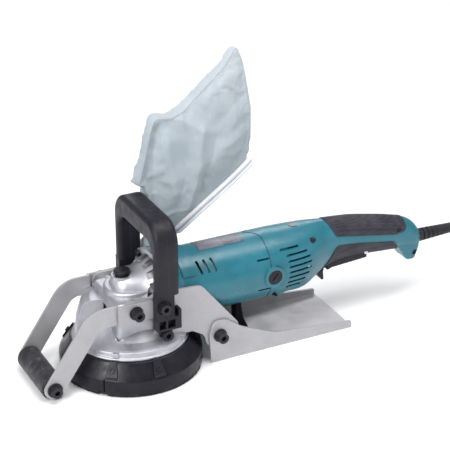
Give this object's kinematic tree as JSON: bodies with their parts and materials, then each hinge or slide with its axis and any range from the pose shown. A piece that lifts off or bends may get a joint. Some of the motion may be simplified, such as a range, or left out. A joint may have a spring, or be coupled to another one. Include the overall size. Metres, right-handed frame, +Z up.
{
  "type": "hand-held concrete planer",
  "caption": "Hand-held concrete surface planer: cup wheel under a brush-sealed hood, bail grip, front roller, rear sole plate, barrel motor, rear switch handle, dust bag and mains lead.",
  "frame": {"origin": "on the work surface, under the middle of the tool's length, in the plane of the wheel and motor axes (cord left out)", "axes": "+X from the front roller to the rear handle, +Y to the operator's right as they push towards -X, +Z up"},
  "size_m": [0.7535, 0.167, 0.3364],
  "materials": {
    "cast_silver": "shot-blasted die casting",
    "steel_plate": "brushed sheet",
    "black_steel": "black oxide",
    "teal_plastic": "fine texture moulding",
    "black_plastic": "moulded",
    "soft_grip": "overmoulded elastomer",
    "skirt_rubber": "satin rubber",
    "bristle": "nylon bristle",
    "bare_steel": "ground steel",
    "gear_steel": "machined steel",
    "copper": "bare copper",
    "lamination": "stacked laminations",
    "carbon": "carbon block",
    "brass": "turned brass",
    "label_film": "printed film without lettering",
    "bag_cloth": "woven cloth",
    "roller_rubber": "hard rubber",
    "cord_rubber": "rubber sheath",
    "diamond_metal": "sintered diamond segment",
    "wheel_steel": "painted steel cup"
  },
  "bodies": {
    "chassis": {"wheel_cover": "cast_silver", "dust_skirt": "skirt_rubber", "skirt_brush": "bristle", "skirt_clips": "black_plastic", "dust_duct": "black_plastic", "gear_housing": "cast_silver", "bearing_retainer": "cast_silver", "lock_spring": "bare_steel", "hang_ring": "black_steel", "case_screws": "black_steel", "side_plate_left": "steel_plate", "side_plate_right": "steel_plate", "frame_bolts": "black_steel", "pivot_spacer": "black_steel", "grip_front_shell": "black_plastic", "grip_rear_shell": "black_plastic", "motor_housing": "teal_plastic", "rating_label": "label_film", "stator_core": "lamination", "stator_windings": "copper", "fan_baffle": "black_plastic", "brush_holders": "brass", "carbon_brushes": "carbon", "brush_caps": "black_plastic", "handle_left": "teal_plastic", "handle_right": "teal_plastic", "upper_grip_pad": "soft_grip", "lower_grip_pad": "soft_grip", "lever_pin": "bare_steel", "switch_unit": "black_plastic", "controller_unit": "black_plastic", "cord_guard": "cord_rubber", "mains_lead": "cord_rubber", "cord_coil": "cord_rubber", "cord_tail": "cord_rubber", "plug": "black_plastic", "plug_pins": "brass"},
    "roller_frame": {"arm_left": "steel_plate", "arm_right": "steel_plate", "roller_axle": "black_steel"},
    "roller": {"roller_sleeve": "roller_rubber"},
    "sole": {"sole_plate": "steel_plate", "travel_stop": "skirt_rubber"},
    "spindle": {"spindle_shaft": "gear_steel", "bevel_gear": "gear_steel", "spindle_bearings": "bare_steel", "grinding_wheel": "wheel_steel", "wheel_segments": "diamond_metal", "wheel_flanges": "gear_steel"},
    "armature": {"armature_shaft": "gear_steel", "armature_core": "lamination", "commutator": "copper", "cooling_fan": "black_plastic", "motor_bearings": "bare_steel", "pinion": "gear_steel"},
    "paddle": {"switch_lever": "black_plastic"},
    "catch": {"lock_off_lever": "black_plastic"},
    "button": {"lock_button": "black_plastic"},
    "bag": {"dust_bag": "bag_cloth", "bag_collar": "black_plastic"}
  },
  "joints": [
    {"name": "spindle_spin", "type": "hinge", "parent": "chassis", "child": "spindle", "pos_m": [-0.13075, 0, 0.05], "axis": [0, 0, 1], "continuous": true},
    {"name": "armature_spin", "type": "hinge", "parent": "chassis", "child": "armature", "pos_m": [-0.03075, 0, 0.09], "axis": [1, 0, 0], "continuous": true},
    {"name": "roller_height", "type": "hinge", "parent": "chassis", "child": "roller_frame", "pos_m": [-0.14275, 0, 0.089], "axis": [0, 1, 0], "range_deg": [0, 12]},
    {"name": "roller_spin", "type": "hinge", "parent": "roller_frame", "child": "roller", "pos_m": [-0.24225, 0, 0.014], "axis": [0, 1, 0], "continuous": true},
    {"name": "sole_height", "type": "hinge", "parent": "chassis", "child": "sole", "pos_m": [-0.03825, 0, 0.0345], "axis": [0, 1, 0], "range_deg": [-3, 0]},
    {"name": "paddle_squeeze", "type": "hinge", "parent": "chassis", "child": "paddle", "pos_m": [0.17725, 0, 0.078], "axis": [0, 1, 0], "range_deg": [0, 4], "stiffness_Nm_per_rad": 2, "springref_deg": -5.73},
    {"name": "catch_tilt", "type": "hinge", "parent": "paddle", "child": "catch", "pos_m": [0.11925, 0, 0.071], "axis": [0, 1, 0], "range_deg": [0, 14], "stiffness_Nm_per_rad": 0.05, "springref_deg": -5.73},
    {"name": "lock_press", "type": "slide", "parent": "chassis", "child": "button", "axis": [0, 0, -1], "range_m": [0, 0.004], "stiffness_N_per_m": 600, "springref_m": -0.002, "deforming": ["lock_spring"]},
    {"name": "bag_pull_off", "type": "slide", "parent": "chassis", "child": "bag", "axis": [0, 0, 1], "range_m": [0, 0.05]}
  ],
  "couplings": [
    {"joint": "armature_spin", "follows": "spindle_spin", "ratio": 2.8182}
  ]
}
